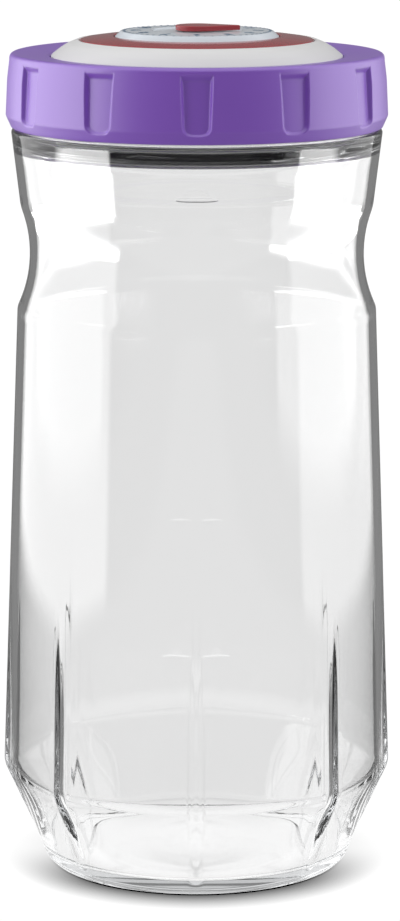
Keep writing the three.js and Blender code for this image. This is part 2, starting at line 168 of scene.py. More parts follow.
class LidDialSettings(bpy.types.PropertyGroup):
    """Sizes of the lid disc and the dial on it."""

    disc_radius: length("Disc radius", "Visible radius of the disc", 0.03805)
    disc_edge_z: length("Disc edge", "Height of the disc's outer edge", 0.2152)
    disc_round: length("Disc rounding", "Rounding of the disc's outer edge", 0.0005)
    flange_radius: length("Flange radius", "Radius of the flange under the ring", 0.0445)
    plug_radius: length("Plug radius", "Outer radius of the plug in the neck", 0.04025)
    plug_wall: length("Plug wall", "Thickness of the plug", 0.002)
    plug_top_z: length("Plug top", "Height of the plug's inner corner", 0.2105)
    seat_z: length("Dial seat", "Height of the seat under the dial", 0.2188)
    underside_radius: length("Underside radius", "Radius at which the underside starts to fall", 0.0335)
    underside_z: length("Underside", "Height of the underside at that radius", 0.215)
    thickness: length("Disc thickness", "Thickness of the disc in the middle", 0.0019)
    gap: length("Gap", "Gap between neighbouring pieces", 0.0003)
    dial_radius: length("Dial radius", "Outer radius of the dial", 0.03045)
    dial_edge_z: length("Dial edge", "Height of the dial's edge", 0.2198)
    band_inner: length("Band inner radius", "Inner radius of the red band", 0.0217)
    band_inner_z: length("Band inner height", "Height of the band's inner edge", 0.22075)
    band_bend: number("Band bend", "How much faster the band falls near its outer edge", 1.6)
    plate_edge_z: length("Plate edge", "Height of the plate's outer edge", 0.2206)
    plate_rim: length("Plate rim radius", "Radius of the plate's raised rim", 0.0199)
    plate_rim_z: length("Plate rim", "Height of the plate's raised rim", 0.222)
    plate_top_z: length("Plate top", "Height the plate's faint dome would reach in the middle", 0.2223)
    pointer_radius: length("Pointer radius", "Radius of the pointer's round end", 0.0056)
    pointer_tip: length("Pointer tip", "Distance of the pointer's tip from the axis", 0.0112)
    pointer_bevel: length("Pointer bevel", "Rounding of the pointer's edges", 0.0003)
    number_radius: length("Number radius", "Distance of the numbers from the axis", 0.01575)
    number_size: length("Number size", "Height of the type", 0.0042)
    number_count: IntProperty(name="Numbers", description="Numbers round the dial", default=12)
    tick_count: IntProperty(name="Ticks", description="Ticks round the dial", default=60)
    tick_radius: length("Tick radius", "Distance of the ticks from the axis", 0.0191)
    white: colour("White", "Colour of the disc", (0.80, 0.80, 0.80))
    red: colour("Red", "Colour of the band and the pointer", (0.36, 0.04, 0.05))
    pale: colour("Pale blue", "Colour of the plate", (0.72, 0.78, 0.84))
    ink: colour("Ink", "Colour of the numbers and ticks", (0.10, 0.16, 0.24))


class StudioSettings(bpy.types.PropertyGroup):
    """The camera and the light."""

    camera_x: length("Camera side", "Camera's distance to the right of the axis", 0.0009)
    camera_distance: length("Camera distance", "Camera's distance in front of the axis", 0.98)
    camera_z: length("Camera height", "Camera's height over the floor", 0.29791)
    camera_pitch: angle("Camera pitch", "How far the camera looks down", 10.971)
    camera_roll: angle("Camera roll", "How far the camera leans", 0.063)
    lens: FloatProperty(name="Lens", description="Focal length in millimetres", default=146.54)
    table_half: length("Table half width", "Half the width of the table between the side lights", 0.35)
    table_level: number("Table", "Brightness of the table, as the walls reflect it", 0.24)
    shadow_reach: length("Shadow reach", "How far the contact shadow reaches", 0.011)
    shadow_depth: number("Shadow depth", "How dark the contact shadow gets", 1.3)
    left_level: number("Left light", "Brightness of the left side light", 1.6)
    right_level: number("Right light", "Brightness of the right side light", 1.2)
    low_boost: number("Low boost", "How much brighter the side lights are in their lower part", 8.0)
    near_level: number("Floor near the jar", "Brightness of the floor next to the jar, as the jar shows it", 1.05)
    near_reach: length("Near floor", "Radius of that floor, seen through the jar", 0.033)
    near_mirrored: length("Near floor mirrored", "Radius of that floor, as the jar mirrors it", 0.07)
    front_level: number("Front", "Brightness of the room behind the camera", 0.06)
    front_fill: number("Front fill", "Brightness of that room, as it lights dull surfaces", 0.5)
    back_level: number("Back", "Brightness behind the jar, as its walls reflect it", 0.22)
    back_high: number("High back", "Brightness behind the jar, well above the floor", 0.7)
    top_level: number("Top light", "Brightness of the light overhead", 0.85)
    plain_level: number("Backdrop", "Brightness of the plain backdrop", 1.03)
    through_level: number("Backdrop through the jar", "Brightness of the backdrop behind the jar", 0.875)
    left_from: angle("Left light from", "Direction where the left light starts", 57.0)
    right_from: angle("Right light from", "Direction where the right light starts", 68.0)
    strip_to: angle("Side lights to", "Direction where both side lights end", 143.0)
    strip_soft: angle("Side lights' edge", "Width of the side lights' soft edge", 3.0)


def lerp(a, b, share):
    """The value at a share of the way from a to b."""
    return a + (b - a) * share


def smooth_step(value):
    """Eases a share from 0 to 1, and holds it outside that range."""
    t = min(max(value, 0.0), 1.0)
    return t * t * (3 - 2 * t)


def soft_min(a, b, width):
    """The lower of two values, with the corner between them rounded over a width."""
    reach = max(width - abs(a - b), 0) / width
    return min(a, b) - reach * reach * width / 4


def spaced(low, high, step):
    """Even values from low to high, both included, at most a step apart."""
    count = max(1, math.ceil((high - low) / step - 1e-6))
    return [low + (high - low) * i / count for i in range(count + 1)]


def merged_rows(spans, nearest=0.02 * MM):
    """Sorted values of several spans of (low, high, step), without near doubles."""
    values = sorted(v for span in spans for v in spaced(*span))
    kept = [values[0]]
    for value in values[1:]:
        if value - kept[-1] > nearest:
            kept.append(value)
    return kept


def rounded_profile(corners, step, arc_degrees=12):
    """A profile through corners of (r, z, rounding), with arcs at them and points a step apart."""
    points = []
    for i, (r, z, rounding) in enumerate(corners):
        here = Vector((r, z))
        if i in (0, len(corners) - 1) or rounding <= 0:
            points.append(here)
            continue
        before = (Vector(corners[i - 1][:2]) - here).normalized()
        after = (Vector(corners[i + 1][:2]) - here).normalized()
        turn = math.pi - before.angle(after)
        reach = rounding * math.tan(turn / 2)
        start, end = here + before * reach, here + after * reach
        middle = (before + after).normalized()
        centre = here + middle * (rounding / math.cos(turn / 2))
        count = max(2, math.ceil(math.degrees(turn) / arc_degrees))
        for k in range(count + 1):
            share = k / count
            spoke = (start - centre).normalized().slerp((end - centre).normalized(), share)
            points.append(centre + spoke * rounding)
    path = [tuple(points[0])]
    for a, b in zip(points, points[1:]):
        count = max(1, math.ceil((b - a).length / step))
        path.extend(tuple(a.lerp(b, k / count)) for k in range(1, count + 1))
    return path


def revolve(name, profile, angles, closed=False, radius_at=None):
    """A mesh swept round the axis. Angles run from the front, towards +X. A point on the axis is one vertex."""
    points, rings = [], []
    count = len(angles)
    for row, (r, z) in enumerate(profile):
        start = len(points)
        if r < 1e-7:
            points.append((0.0, 0.0, z))
            rings.append([start] * count)
            continue
        for a in angles:
            reach = radius_at(row, r, z, a) if radius_at else r
            points.append((reach * math.sin(a), -reach * math.cos(a), z))
        rings.append(list(range(start, start + count)))
    faces = []
    pairs = list(zip(rings, rings[1:]))
    if closed:
        pairs.append((rings[-1], rings[0]))
    for low, high in pairs:
        for i in range(count):
            k = (i + 1) % count
            face = [low[i], low[k], high[k], high[i]]
            face = [v for n, v in enumerate(face) if v != face[n - 1]]
            if len(face) > 2:
                faces.append(face)
    mesh = bpy.data.meshes.new(name)
    mesh.from_pydata(points, [], faces)
    mesh.validate()
    mesh.shade_smooth()
    return mesh


def even_angles(count):
    """Even directions round the axis."""
    return [2 * math.pi * i / count for i in range(count)]


def add_object(name, mesh):
    """A new object at the origin that shows a mesh."""
    piece = bpy.data.objects.new(name, mesh)
    bpy.context.scene.collection.objects.link(piece)
    return piece


def finish_piece(piece, slot, *nodes, material=None):
    """Gives a piece its finish where one is passed, hangs it on the body it moves with, and hides the CAD parts it
    replaces.
    """
    if material is not None:
        piece.data.materials.clear()
        piece.data.materials.append(material)
    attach(piece, BODY)
    if nodes:
        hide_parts(*nodes)
    return piece


def new_geometry_tree(name, inputs):
    """A Geometry Nodes tree with a geometry in and out, and named inputs of (name, type, default)."""
    tree = bpy.data.node_groups.new(name, "GeometryNodeTree")
    tree.interface.new_socket("Geometry", in_out="INPUT", socket_type="NodeSocketGeometry")
    for label, kind, default in inputs:
        socket = tree.interface.new_socket(label, in_out="INPUT", socket_type=kind)
        if default is not None:
            socket.default_value = default
    tree.interface.new_socket("Geometry", in_out="OUTPUT", socket_type="NodeSocketGeometry")
    return tree, tree.nodes.new("NodeGroupInput"), tree.nodes.new("NodeGroupOutput")


def feed(tree, socket, value):
    """Links a socket's value, or sets it where the value is a plain one."""
    if isinstance(value, bpy.types.NodeSocket):
        tree.links.new(value, socket)
    else:
        socket.default_value = value


def maths(tree, operation, *values):
    """The output of a math node."""
    node = tree.nodes.new("ShaderNodeMath")
    node.operation = operation
    for socket, value in zip(node.inputs, values):
        feed(tree, socket, value)
    return node.outputs[0]


def ramp(tree, value, low, high, start=0.0, end=1.0):
    """A value eased from start to end as it goes from low to high."""
    node = tree.nodes.new("ShaderNodeMapRange")
    node.interpolation_type = "SMOOTHSTEP"
    for label, given in (
        ("Value", value),
        ("From Min", low),
        ("From Max", high),
        ("To Min", start),
        ("To Max", end),
    ):
        feed(tree, node.inputs[label], given)
    return node.outputs["Result"]


def named_value(tree, name):
    """A number that the mesh carries at each point."""
    node = tree.nodes.new("GeometryNodeInputNamedAttribute")
    node.data_type = "FLOAT"
    node.inputs["Name"].default_value = name
    return node.outputs["Attribute"]


def polar_position(tree):
    """Where a point lies: its direction from the front, its radius, its height and its level spoke."""
    position = tree.nodes.new("GeometryNodeInputPosition").outputs[0]
    split = tree.nodes.new("ShaderNodeSeparateXYZ")
    tree.links.new(position, split.inputs[0])
    x, y, z = split.outputs
    direction = maths(tree, "ARCTAN2", x, maths(tree, "MULTIPLY", y, -1.0))
    radius = maths(tree, "SQRT", maths(tree, "ADD", maths(tree, "MULTIPLY", x, x), maths(tree, "MULTIPLY", y, y)))
    spoke = tree.nodes.new("ShaderNodeCombineXYZ")
    tree.links.new(x, spoke.inputs[0])
    tree.links.new(y, spoke.inputs[1])
    return direction, radius, z, spoke.outputs[0]


def push_out(tree, geometry, spoke, radius, distance):
    """Moves the points outwards along their spokes by a distance."""
    scale = tree.nodes.new("ShaderNodeVectorMath")
    scale.operation = "SCALE"
    tree.links.new(spoke, scale.inputs[0])
    feed(tree, scale.inputs["Scale"], maths(tree, "DIVIDE", distance, radius))
    move = tree.nodes.new("GeometryNodeSetPosition")
    tree.links.new(geometry, move.inputs["Geometry"])
    tree.links.new(scale.outputs[0], move.inputs["Offset"])
    return move.outputs["Geometry"]


def end_tree(tree, geometry, material, group_out):
    """Realizes what the tree made and gives it its material."""
    realize = tree.nodes.new("GeometryNodeRealizeInstances")
    paint = tree.nodes.new("GeometryNodeSetMaterial")
    tree.links.new(geometry, realize.inputs[0])
    tree.links.new(realize.outputs[0], paint.inputs["Geometry"])
    tree.links.new(material, paint.inputs["Material"])
    tree.links.new(paint.outputs[0], group_out.inputs["Geometry"])


def run_tree(piece, tree, values):
    """Runs a tree on a piece with named values, and leaves the result as the piece's own plain mesh."""
    modifier = piece.modifiers.new(tree.name, "NODES")
    modifier.node_group = tree
    for item in tree.interface.items_tree:
        if item.item_type == "SOCKET" and item.in_out == "INPUT" and item.name in values:
            modifier[item.identifier] = values[item.name]
    bpy.context.view_layer.update()
    evaluated = piece.evaluated_get(bpy.context.evaluated_depsgraph_get())
    result = bpy.data.meshes.new_from_object(evaluated)
    piece.modifiers.remove(modifier)
    for label in [a.name for a in result.attributes if a.name.startswith("form_")]:
        result.attributes.remove(result.attributes[label])
    result.name = piece.name
    piece.data = result
    result.shade_smooth()
    return piece


def rib_tree():
    """Ribs and hollowed panels, spaced evenly round a wall that carries how far each may reach."""
    inputs = [
        ("Ribs", "NodeSocketInt", 8),
        ("Crest", "NodeSocketFloat", 0.0166),
        ("Base", "NodeSocketFloat", 0.041),
        ("Material", "NodeSocketMaterial", None),
    ]
    tree, group_in, group_out = new_geometry_tree("Moulded ribs", inputs)
    direction, radius, _, spoke = polar_position(tree)
    half_sector = maths(tree, "DIVIDE", math.pi, group_in.outputs["Ribs"])
    from_rib = maths(tree, "PINGPONG", direction, half_sector)
    crest, base = group_in.outputs["Crest"], group_in.outputs["Base"]
    on_rib = ramp(tree, from_rib, crest, base, 1.0, 0.0)
    width = maths(tree, "SUBTRACT", half_sector, base)
    across = maths(tree, "DIVIDE", maths(tree, "SUBTRACT", from_rib, base), width)
    inward = maths(tree, "SUBTRACT", 1.0, maths(tree, "MAXIMUM", across, 0.0))
    bow = maths(tree, "SUBTRACT", 1.0, maths(tree, "MULTIPLY", inward, inward))
    out = maths(tree, "MULTIPLY", on_rib, named_value(tree, "form_rise"))
    sunk = maths(tree, "MULTIPLY", bow, named_value(tree, "form_sink"))
    moved = push_out(tree, group_in.outputs["Geometry"], spoke, radius, maths(tree, "SUBTRACT", out, sunk))
    end_tree(tree, moved, group_in.outputs["Material"], group_out)
    return tree


def grip_tree():
    """U-shaped recesses, closed under the rim, spaced evenly round a ring's wall."""
    inputs = [
        ("Grips", "NodeSocketInt", 12),
        ("Half width low", "NodeSocketFloat", 0.0037),
        ("Half width top", "NodeSocketFloat", 0.00435),
        ("Low", "NodeSocketFloat", 0.199),
        ("Top", "NodeSocketFloat", 0.215),
        ("Corner", "NodeSocketFloat", 0.0026),
        ("Side", "NodeSocketFloat", 0.0009),
        ("Fade", "NodeSocketFloat", 0.0022),
        ("Floor low", "NodeSocketFloat", 0.0484),
        ("Floor top", "NodeSocketFloat", 0.0473),
        ("Material", "NodeSocketMaterial", None),
    ]
    tree, group_in, group_out = new_geometry_tree("Grip recesses", inputs)
    given = group_in.outputs
    direction, radius, z, spoke = polar_position(tree)
    half_sector = maths(tree, "DIVIDE", math.pi, given["Grips"])
    aside = maths(tree, "MULTIPLY", maths(tree, "PINGPONG", direction, half_sector), given["Floor low"])
    height = maths(tree, "SUBTRACT", z, given["Low"])
    share = maths(tree, "DIVIDE", height, maths(tree, "SUBTRACT", given["Top"], given["Low"]))
    spread = maths(tree, "SUBTRACT", given["Half width top"], given["Half width low"])
    half_width = maths(tree, "ADD", given["Half width low"], maths(tree, "MULTIPLY", spread, share))
    over_side = maths(tree, "ADD", maths(tree, "SUBTRACT", aside, half_width), given["Corner"])
    under_low = maths(tree, "SUBTRACT", given["Corner"], height)
    side_out = maths(tree, "MAXIMUM", over_side, 0.0)
    low_out = maths(tree, "MAXIMUM", under_low, 0.0)
    squares = maths(tree, "ADD", maths(tree, "MULTIPLY", side_out, side_out), maths(tree, "MULTIPLY", low_out, low_out))
    inside = maths(tree, "MINIMUM", maths(tree, "MAXIMUM", over_side, under_low), 0.0)
    past_low = maths(tree, "SUBTRACT", maths(tree, "ADD", maths(tree, "SQRT", squares), inside), given["Corner"])
    from_top = maths(tree, "DIVIDE", maths(tree, "SUBTRACT", z, given["Top"]), given["Fade"])
    past = maths(tree, "MAXIMUM", past_low, maths(tree, "MULTIPLY", from_top, given["Side"]))
    full = maths(tree, "MULTIPLY", given["Side"], -1.0)
    sunk_share = ramp(tree, past, full, 0.0, 1.0, 0.0)
    drop = maths(tree, "SUBTRACT", given["Floor top"], given["Floor low"])
    floor = maths(tree, "ADD", given["Floor low"], maths(tree, "MULTIPLY", drop, share))
    spare = maths(tree, "MAXIMUM", maths(tree, "SUBTRACT", radius, floor), 0.0)
    distance = maths(tree, "MULTIPLY", maths(tree, "MULTIPLY", sunk_share, spare), -1.0)
    moved = push_out(tree, given["Geometry"], spoke, radius, distance)
    end_tree(tree, moved, given["Material"], group_out)
    return tree


def tick_tree():
    """A mark repeated round a circle, each copy turned to face the middle."""
    inputs = [
        ("Ticks", "NodeSocketInt", 60),
        ("Radius", "NodeSocketFloat", 0.0205),
        ("Height", "NodeSocketFloat", 0.222),
        ("Slope", "NodeSocketFloat", 0.19),
        ("Material", "NodeSocketMaterial", None),
    ]
    tree, group_in, group_out = new_geometry_tree("Dial ticks", inputs)
    given = group_in.outputs
    circle = tree.nodes.new("GeometryNodeMeshCircle")
    tree.links.new(given["Ticks"], circle.inputs["Vertices"])
    tree.links.new(given["Radius"], circle.inputs["Radius"])
    lift = tree.nodes.new("ShaderNodeCombineXYZ")
    tree.links.new(given["Height"], lift.inputs["Z"])
    place = tree.nodes.new("GeometryNodeSetPosition")
    tree.links.new(circle.outputs["Mesh"], place.inputs["Geometry"])
    tree.links.new(lift.outputs[0], place.inputs["Offset"])
    direction, _, _, _ = polar_position(tree)
    turn = tree.nodes.new("ShaderNodeCombineXYZ")
    tree.links.new(given["Slope"], turn.inputs["X"])
    tree.links.new(direction, turn.inputs["Z"])
    copies = tree.nodes.new("GeometryNodeInstanceOnPoints")
    tree.links.new(place.outputs["Geometry"], copies.inputs["Points"])
    tree.links.new(given["Geometry"], copies.inputs["Instance"])
    tree.links.new(turn.outputs[0], copies.inputs["Rotation"])
    end_tree(tree, copies.outputs["Instances"], given["Material"], group_out)
    return tree


def shader_group(name, inputs, outputs):
    """A shader node group with named inputs of (name, default) and named outputs of (name, type)."""
    group = bpy.data.node_groups.new(name, "ShaderNodeTree")
    for label, default in inputs:
        socket = group.interface.new_socket(label, in_out="INPUT", socket_type="NodeSocketFloat")
        socket.default_value = default
    for label, kind in outputs:
        group.interface.new_socket(label, in_out="OUTPUT", socket_type=kind)
    return group, group.nodes.new("NodeGroupInput"), group.nodes.new("NodeGroupOutput")


def moulded_skin():
    """The faint unevenness of moulded plastic: a slow ripple with a fine grain, and gloss that varies."""
    if "Moulded skin" in bpy.data.node_groups:
        return bpy.data.node_groups["Moulded skin"]
    group, group_in, group_out = shader_group(
        "Moulded skin",
        [("Ripple size", 90.0), ("Grain size", 2500.0), ("Gloss", 0.3), ("Gloss spread", 0.05), ("Grain share", 0.3)],
        [("Roughness", "NodeSocketFloat"), ("Height", "NodeSocketFloat")],
    )
    place = group.nodes.new("ShaderNodeTexCoord").outputs["Object"]
    ripple = group.nodes.new("ShaderNodeTexNoise")
    grain = group.nodes.new("ShaderNodeTexNoise")
    for node, size, detail in ((ripple, "Ripple size", 2.0), (grain, "Grain size", 3.0)):
        group.links.new(place, node.inputs["Vector"])
        group.links.new(group_in.outputs[size], node.inputs["Scale"])
        node.inputs["Detail"].default_value = detail
    centred = maths(group, "SUBTRACT", ripple.outputs["Fac"], 0.5)
    change = maths(group, "MULTIPLY", centred, group_in.outputs["Gloss spread"])
    rough = maths(group, "ADD", group_in.outputs["Gloss"], change)
    fine = maths(group, "MULTIPLY", grain.outputs["Fac"], group_in.outputs["Grain share"])
    group.links.new(rough, group_out.inputs["Roughness"])
    group.links.new(maths(group, "ADD", ripple.outputs["Fac"], fine), group_out.inputs["Height"])
    return group


def new_material(name):
    """A material with its Principled shader, ready to be filled in."""
    material = bpy.data.materials.new(name)
    material.use_nodes = True
    return material, material.node_tree, material.node_tree.nodes["Principled BSDF"]


def add_skin(tree, shader, values, strength, distance, rough=True):
    """Puts the moulded skin on a material's shader."""
    skin = tree.nodes.new("ShaderNodeGroup")
    skin.node_tree = moulded_skin()
    for label, value in values.items():
        skin.inputs[label].default_value = value
    bump = tree.nodes.new("ShaderNodeBump")
    bump.inputs["Strength"].default_value = strength
    bump.inputs["Distance"].default_value = distance
    tree.links.new(skin.outputs["Height"], bump.inputs["Height"])
    tree.links.new(bump.outputs["Normal"], shader.inputs["Normal"])
    if rough:
        tree.links.new(skin.outputs["Roughness"], shader.inputs["Roughness"])


def clear_plastic(settings):
    """Clear moulded plastic that takes a little light for each millimetre of wall."""
    material, tree, shader = new_material("clear_plastic")
    shader.inputs["Base Color"].default_value = (*settings.clear, 1)
    shader.inputs["Transmission Weight"].default_value = 1.0
    shader.inputs["IOR"].default_value = settings.refraction
    shader.inputs["Roughness"].default_value = 0.0
    add_skin(tree, shader, {"Ripple size": 60.0, "Grain share": 0.0}, 0.02, 0.0004, rough=False)
    depth = tree.nodes.new("ShaderNodeVolumeAbsorption")
    depth.inputs["Color"].default_value = (*settings.absorbed, 1)
    depth.inputs["Density"].default_value = settings.density
    tree.links.new(depth.outputs[0], tree.nodes["Material Output"].inputs["Volume"])
    return material


def solid_plastic(name, base, gloss, ripple=60.0, spread=0.06, strength=0.08, mirror=1.5):
    """Coloured moulded plastic with a satin gloss. Over 1.5, its mirror is stronger and has a second layer."""
    material, tree, shader = new_material(name)
    shader.inputs["Base Color"].default_value = (*base, 1)
    shader.inputs["IOR"].default_value = mirror
    if mirror > 1.5:
        shader.inputs["Specular IOR Level"].default_value = 1.0
        shader.inputs["Coat Weight"].default_value = 1.0
        shader.inputs["Coat Roughness"].default_value = gloss
        shader.inputs["Coat IOR"].default_value = mirror
    skin = {"Ripple size": ripple, "Gloss": gloss, "Gloss spread": spread, "Grain share": 0.25}
    add_skin(tree, shader, skin, strength, 0.0002)
    return material


def taper_radius(s, z):
    """Radius of the tapered body, of which only the rib crests are left near the foot."""
    return lerp(s.taper_low, s.taper_high, (z - s.crease_z) / (s.taper_top_z - s.crease_z))


def waist_radius(s, z, offset=0.0):
    """Radius of the hollow waist, or of a wall a distance inside it."""
    arc = s.waist_arc + offset
    rise = min(abs(z - s.waist_z), 0.9 * arc)
    return s.waist_radius - offset + arc - math.sqrt(arc * arc - rise * rise)


def collar_radius(s, z):
    """Radius of the collar under the ledge."""
    return lerp(s.collar_low, s.collar_top, (z - s.collar_low_z) / (s.ledge_z - s.collar_low_z))


def rib_height(s, z):
    """How far a rib stands out of the wall."""
    return s.rib_height * smooth_step((s.rib_top_z - z) / (s.rib_top_z - s.crease_z))


CREST_ROUND = 0.9 * MM
PANEL_ROUND = 0.35 * MM
BEND_ROUND = 0.35 * MM


def crest_radius(s, z):
    """Radius on top of a rib."""
    chamfer = s.chamfer_foot_radius + s.crest_chamfer * (z - s.chamfer_foot_z)
    return soft_min(chamfer, taper_radius(s, z), CREST_ROUND)


def wall_radius(s, z):
    """Radius of the wall beside a rib."""
    chamfer = s.chamfer_foot_radius + s.panel_chamfer * (z - s.chamfer_foot_z)
    wall = soft_min(chamfer, taper_radius(s, z) - rib_height(s, z), PANEL_ROUND)
    return min(wall, crest_radius(s, z))


def panel_depth(s, z):
    """How far the middle of a panel lies inside the round."""
    fade_up = smooth_step((s.panel_top_z - z) / (s.panel_top_z - s.crease_z))
    fade_down = smooth_step((z - s.rib_foot_z) / (s.crease_z - s.rib_foot_z))
    return s.panel_flat * fade_up * fade_down


def outer_radius(s, z):
    """Radius of the outer wall between its foot and its ledge, without ribs."""
    waist = waist_radius(s, z)
    if z < s.waist_z:
        return soft_min(wall_radius(s, z), waist, BEND_ROUND) if z > s.panel_top_z else wall_radius(s, z)
    return soft_min(collar_radius(s, z), waist, BEND_ROUND)


def inner_share(s, z):
    """How far the inside follows the ribs and panels of the outside. It is round below the crease."""
    return smooth_step((z - s.crease_z + 0.013) / 0.013)


def inner_radius(s, z):
    """Radius of the inside at the middle of a panel."""
    waist = waist_radius(s, z, s.wall)
    if z > s.waist_z:
        return soft_min(collar_radius(s, z) - s.wall, waist, BEND_ROUND)
    wall = wall_radius(s, z) - panel_depth(s, z) - s.wall
    if z > s.panel_top_z:
        return soft_min(wall, waist, BEND_ROUND)
    chamfer = s.chamfer_foot_radius - s.panel_flat + 0.39 * (z - 0.0066)
    return soft_min(wall, chamfer, PANEL_ROUND)


# Level marks on the front: height, the bars' half angle and the gap's half angle, in degrees, and fullness
LEVEL_MARKS = ((0.1834, 6.4, 0.0, 4), (0.1018, 7.6, 1.5, 2), (0.0665, 10.0, 1.7, 2))
NECK_THREAD = {"turns": 1.4, "pitch": 4.5 * MM, "start": 201.0 * MM, "half": 1.1 * MM}


def mark_relief(s, z, direction):
    """How far a level mark stands out at a height and a direction."""
    degrees = abs(math.degrees(math.remainder(direction, 2 * math.pi)))
    for mark_z, half, gap, fullness in LEVEL_MARKS:
        if abs(z - mark_z) > s.mark_height or degrees > half or degrees < gap:
            continue
        middle, reach = (half + gap) / 2, (half - gap) / 2
        if gap == 0:
            middle, reach = 0.0, half
        across = abs(degrees - middle) / reach
        half_height = s.mark_height / 2 * math.sqrt(max(1 - across**fullness, 0.0))
        if half_height < 0.02 * MM:
            return 0.0
        up = min(abs(z - mark_z) / half_height, 1.0)
        return s.mark_relief * smooth_step((1 - up) / 0.5) * min(1.0, half_height / (0.3 * MM))
    return 0.0


def thread_relief(thread, z, direction):
    """Share of a screw thread's height at a height and a direction, 1 on its crest."""
    turn = (math.degrees(direction) / 360 + 0.25) % 1.0
    best = 0.0
    for lap in (0, 1):
        if turn + lap > thread["turns"]:
            continue
        away = abs(z - thread["start"] - (turn + lap) * thread["pitch"])
        ends = min(turn + lap, thread["turns"] - turn - lap) / 0.08
        best = max(best, smooth_step((thread["half"] - away) / (0.6 * thread["half"])) * smooth_step(ends))
    return best


def jar_angles(s):
    """Directions of the body's columns, closer on the ribs and across the level marks."""
    sector = 2 * math.pi / s.rib_count
    marks = math.radians(11)
    columns = []
    for i in range(s.rib_count):
        centre = i * sector
        columns += merged_rows(
            [
                (centre - s.rib_base, centre - s.rib_crest, 0.0078),
                (centre - s.rib_crest, centre + s.rib_crest, 0.012),
                (centre + s.rib_crest, centre + s.rib_base, 0.0078),
                (centre + s.rib_base, centre + sector - s.rib_base, 0.04),
            ],
            1e-4,
        )
    columns = [c for c in columns if abs(math.remainder(c, 2 * math.pi)) > marks]
    columns += spaced(-marks, marks, 0.0077)
    return sorted(set(round(c % (2 * math.pi), 7) for c in columns))


def jar_mesh(s):
    """The clear body before its ribs: foot, chamfer, taper, waist, collar, neck and the round inside."""
    rim_z = JAR_BOX[1].z
    foot = rounded_profile(
        [
            (0, s.push_up, 0),
            (s.foot_inner - 0.006, s.push_up - 0.0006, 0.004),
            (s.foot_inner, 0, 0.0006),
            (s.foot_radius, 0, 0.0006),
            (s.chamfer_foot_radius, s.chamfer_foot_z, 0),
        ],
        0.0015,
    )
    near_marks = [(z - 1.1 * s.mark_height / 2, z + 1.1 * s.mark_height / 2, 0.00013) for z, *_ in LEVEL_MARKS]
    rows = merged_rows(
        [
            (0.0022, 0.022, 0.0018),
            (0.022, 0.0275, 0.0004),
            (0.0275, 0.0994, 0.0033),
            (s.panel_top_z, 0.147, 0.006),
            (0.147, 0.152, 0.0008),
            (0.152, 0.174, 0.0019),
            (0.174, 0.1785, 0.0008),
            (0.1785, s.ledge_z - 2.2 * s.ledge_round, 0.004),
            *near_marks,
        ],
        0.05 * MM,
    )
    wall = [(outer_radius(s, z), z) for z in rows]
    top = collar_radius(s, s.ledge_z)
    ledge = rounded_profile(
        [
            (outer_radius(s, rows[-1]), rows[-1], 0),
            (top, s.ledge_z, s.ledge_round * 0.98),
            (s.neck_radius, s.ledge_z, 0.0004),
            (s.neck_radius, 0.1995, 0),
        ],
        0.0012,
    )[1:]
    neck = [(s.neck_radius, z) for z in spaced(0.1998, 0.2098, 0.0007)]
    rim = rounded_profile(
        [
            (s.neck_radius, 0.2098, 0),
            (s.neck_radius, rim_z, 0.0005),
            (s.neck_bore, rim_z, 0.0005),
            (s.neck_bore, s.shoulder_top_z, 0.0008),
            (collar_radius(s, s.shoulder_low_z) - s.wall, s.shoulder_low_z, 0.0008),
            (inner_radius(s, 0.186), 0.186, 0),
        ],
        0.0025,
    )[1:]
    inner_rows = merged_rows(
        [(s.inner_foot_z, 0.02, 0.0014), (0.02, 0.03, 0.0006), (0.03, 0.1, 0.0036), (0.1, 0.147, 0.005), (0.147, 0.182, 0.0017)]
    )
    inside = [(inner_radius(s, z) + panel_depth(s, z) * inner_share(s, z), z) for z in reversed(inner_rows)]
    floor_z = s.push_up + s.floor_thickness
    low = inside[-1]
    floor = rounded_profile(
        [
            (*low, 0),
            (low[0] - 0.39 * (low[1] - floor_z), floor_z - 0.0006, 0.0022),
            (0.026, floor_z - 0.0006, 0.03),
            (0.012, floor_z, 0.04),
            (0, floor_z, 0),
        ],
        0.0025,
    )[1:]
    profile = foot + wall + ledge + neck + rim + inside + floor
    first, last = len(foot), len(foot) + len(wall)
    neck_first = last + len(ledge)
    neck_last = neck_first + len(neck)

    def radius_at(row, r, z, a):
        if first <= row < last:
            return r + mark_relief(s, z, a)
        if neck_first <= row < neck_last:
            return r + thread_relief(NECK_THREAD, z, a) * 0.001
        return r

    mesh = revolve("jar_shell", profile, jar_angles(s), radius_at=radius_at)
    inner_first = neck_last + len(rim)
    add_form_values(s, mesh, profile, range(first, last), range(inner_first, inner_first + len(inside)))
    return mesh


def add_form_values(s, mesh, profile, outer_rows, inner_rows):
    """Writes at each point of both walls how far a rib may rise and a panel may sink there."""
    columns = len(jar_angles(s))
    rise = mesh.attributes.new("form_rise", "FLOAT", "POINT")
    sink = mesh.attributes.new("form_sink", "FLOAT", "POINT")
    start = 0
    for row, (r, z) in enumerate(profile):
        count = 1 if r < 1e-7 else columns
        share = 1.0 if row in outer_rows else inner_share(s, z) if row in inner_rows else 0.0
        if share > 0 and s.rib_foot_z <= z <= s.panel_top_z:
            for i in range(start, start + count):
                rise.data[i].value = share * (crest_radius(s, z) - wall_radius(s, z))
                sink.data[i].value = share * panel_depth(s, z)
        start += count


class JAR_OT_body(bpy.types.Operator):
    """Make the clear body with its ribs, level marks and threaded neck"""

    bl_idname = "storage_jar.body"
    bl_label = "Clear body"

    def execute(self, context):
        s = context.scene.storage_jar_body
        piece = add_object("jar_shell", jar_mesh(s))
        values = {
            "Ribs": s.rib_count,
            "Crest": s.rib_crest,
            "Base": s.rib_base,
            "Material": clear_plastic(s),
        }
        run_tree(piece, rib_tree(), values)
        finish_piece(piece, "clear_plastic", "jar_body")
        return {"FINISHED"}


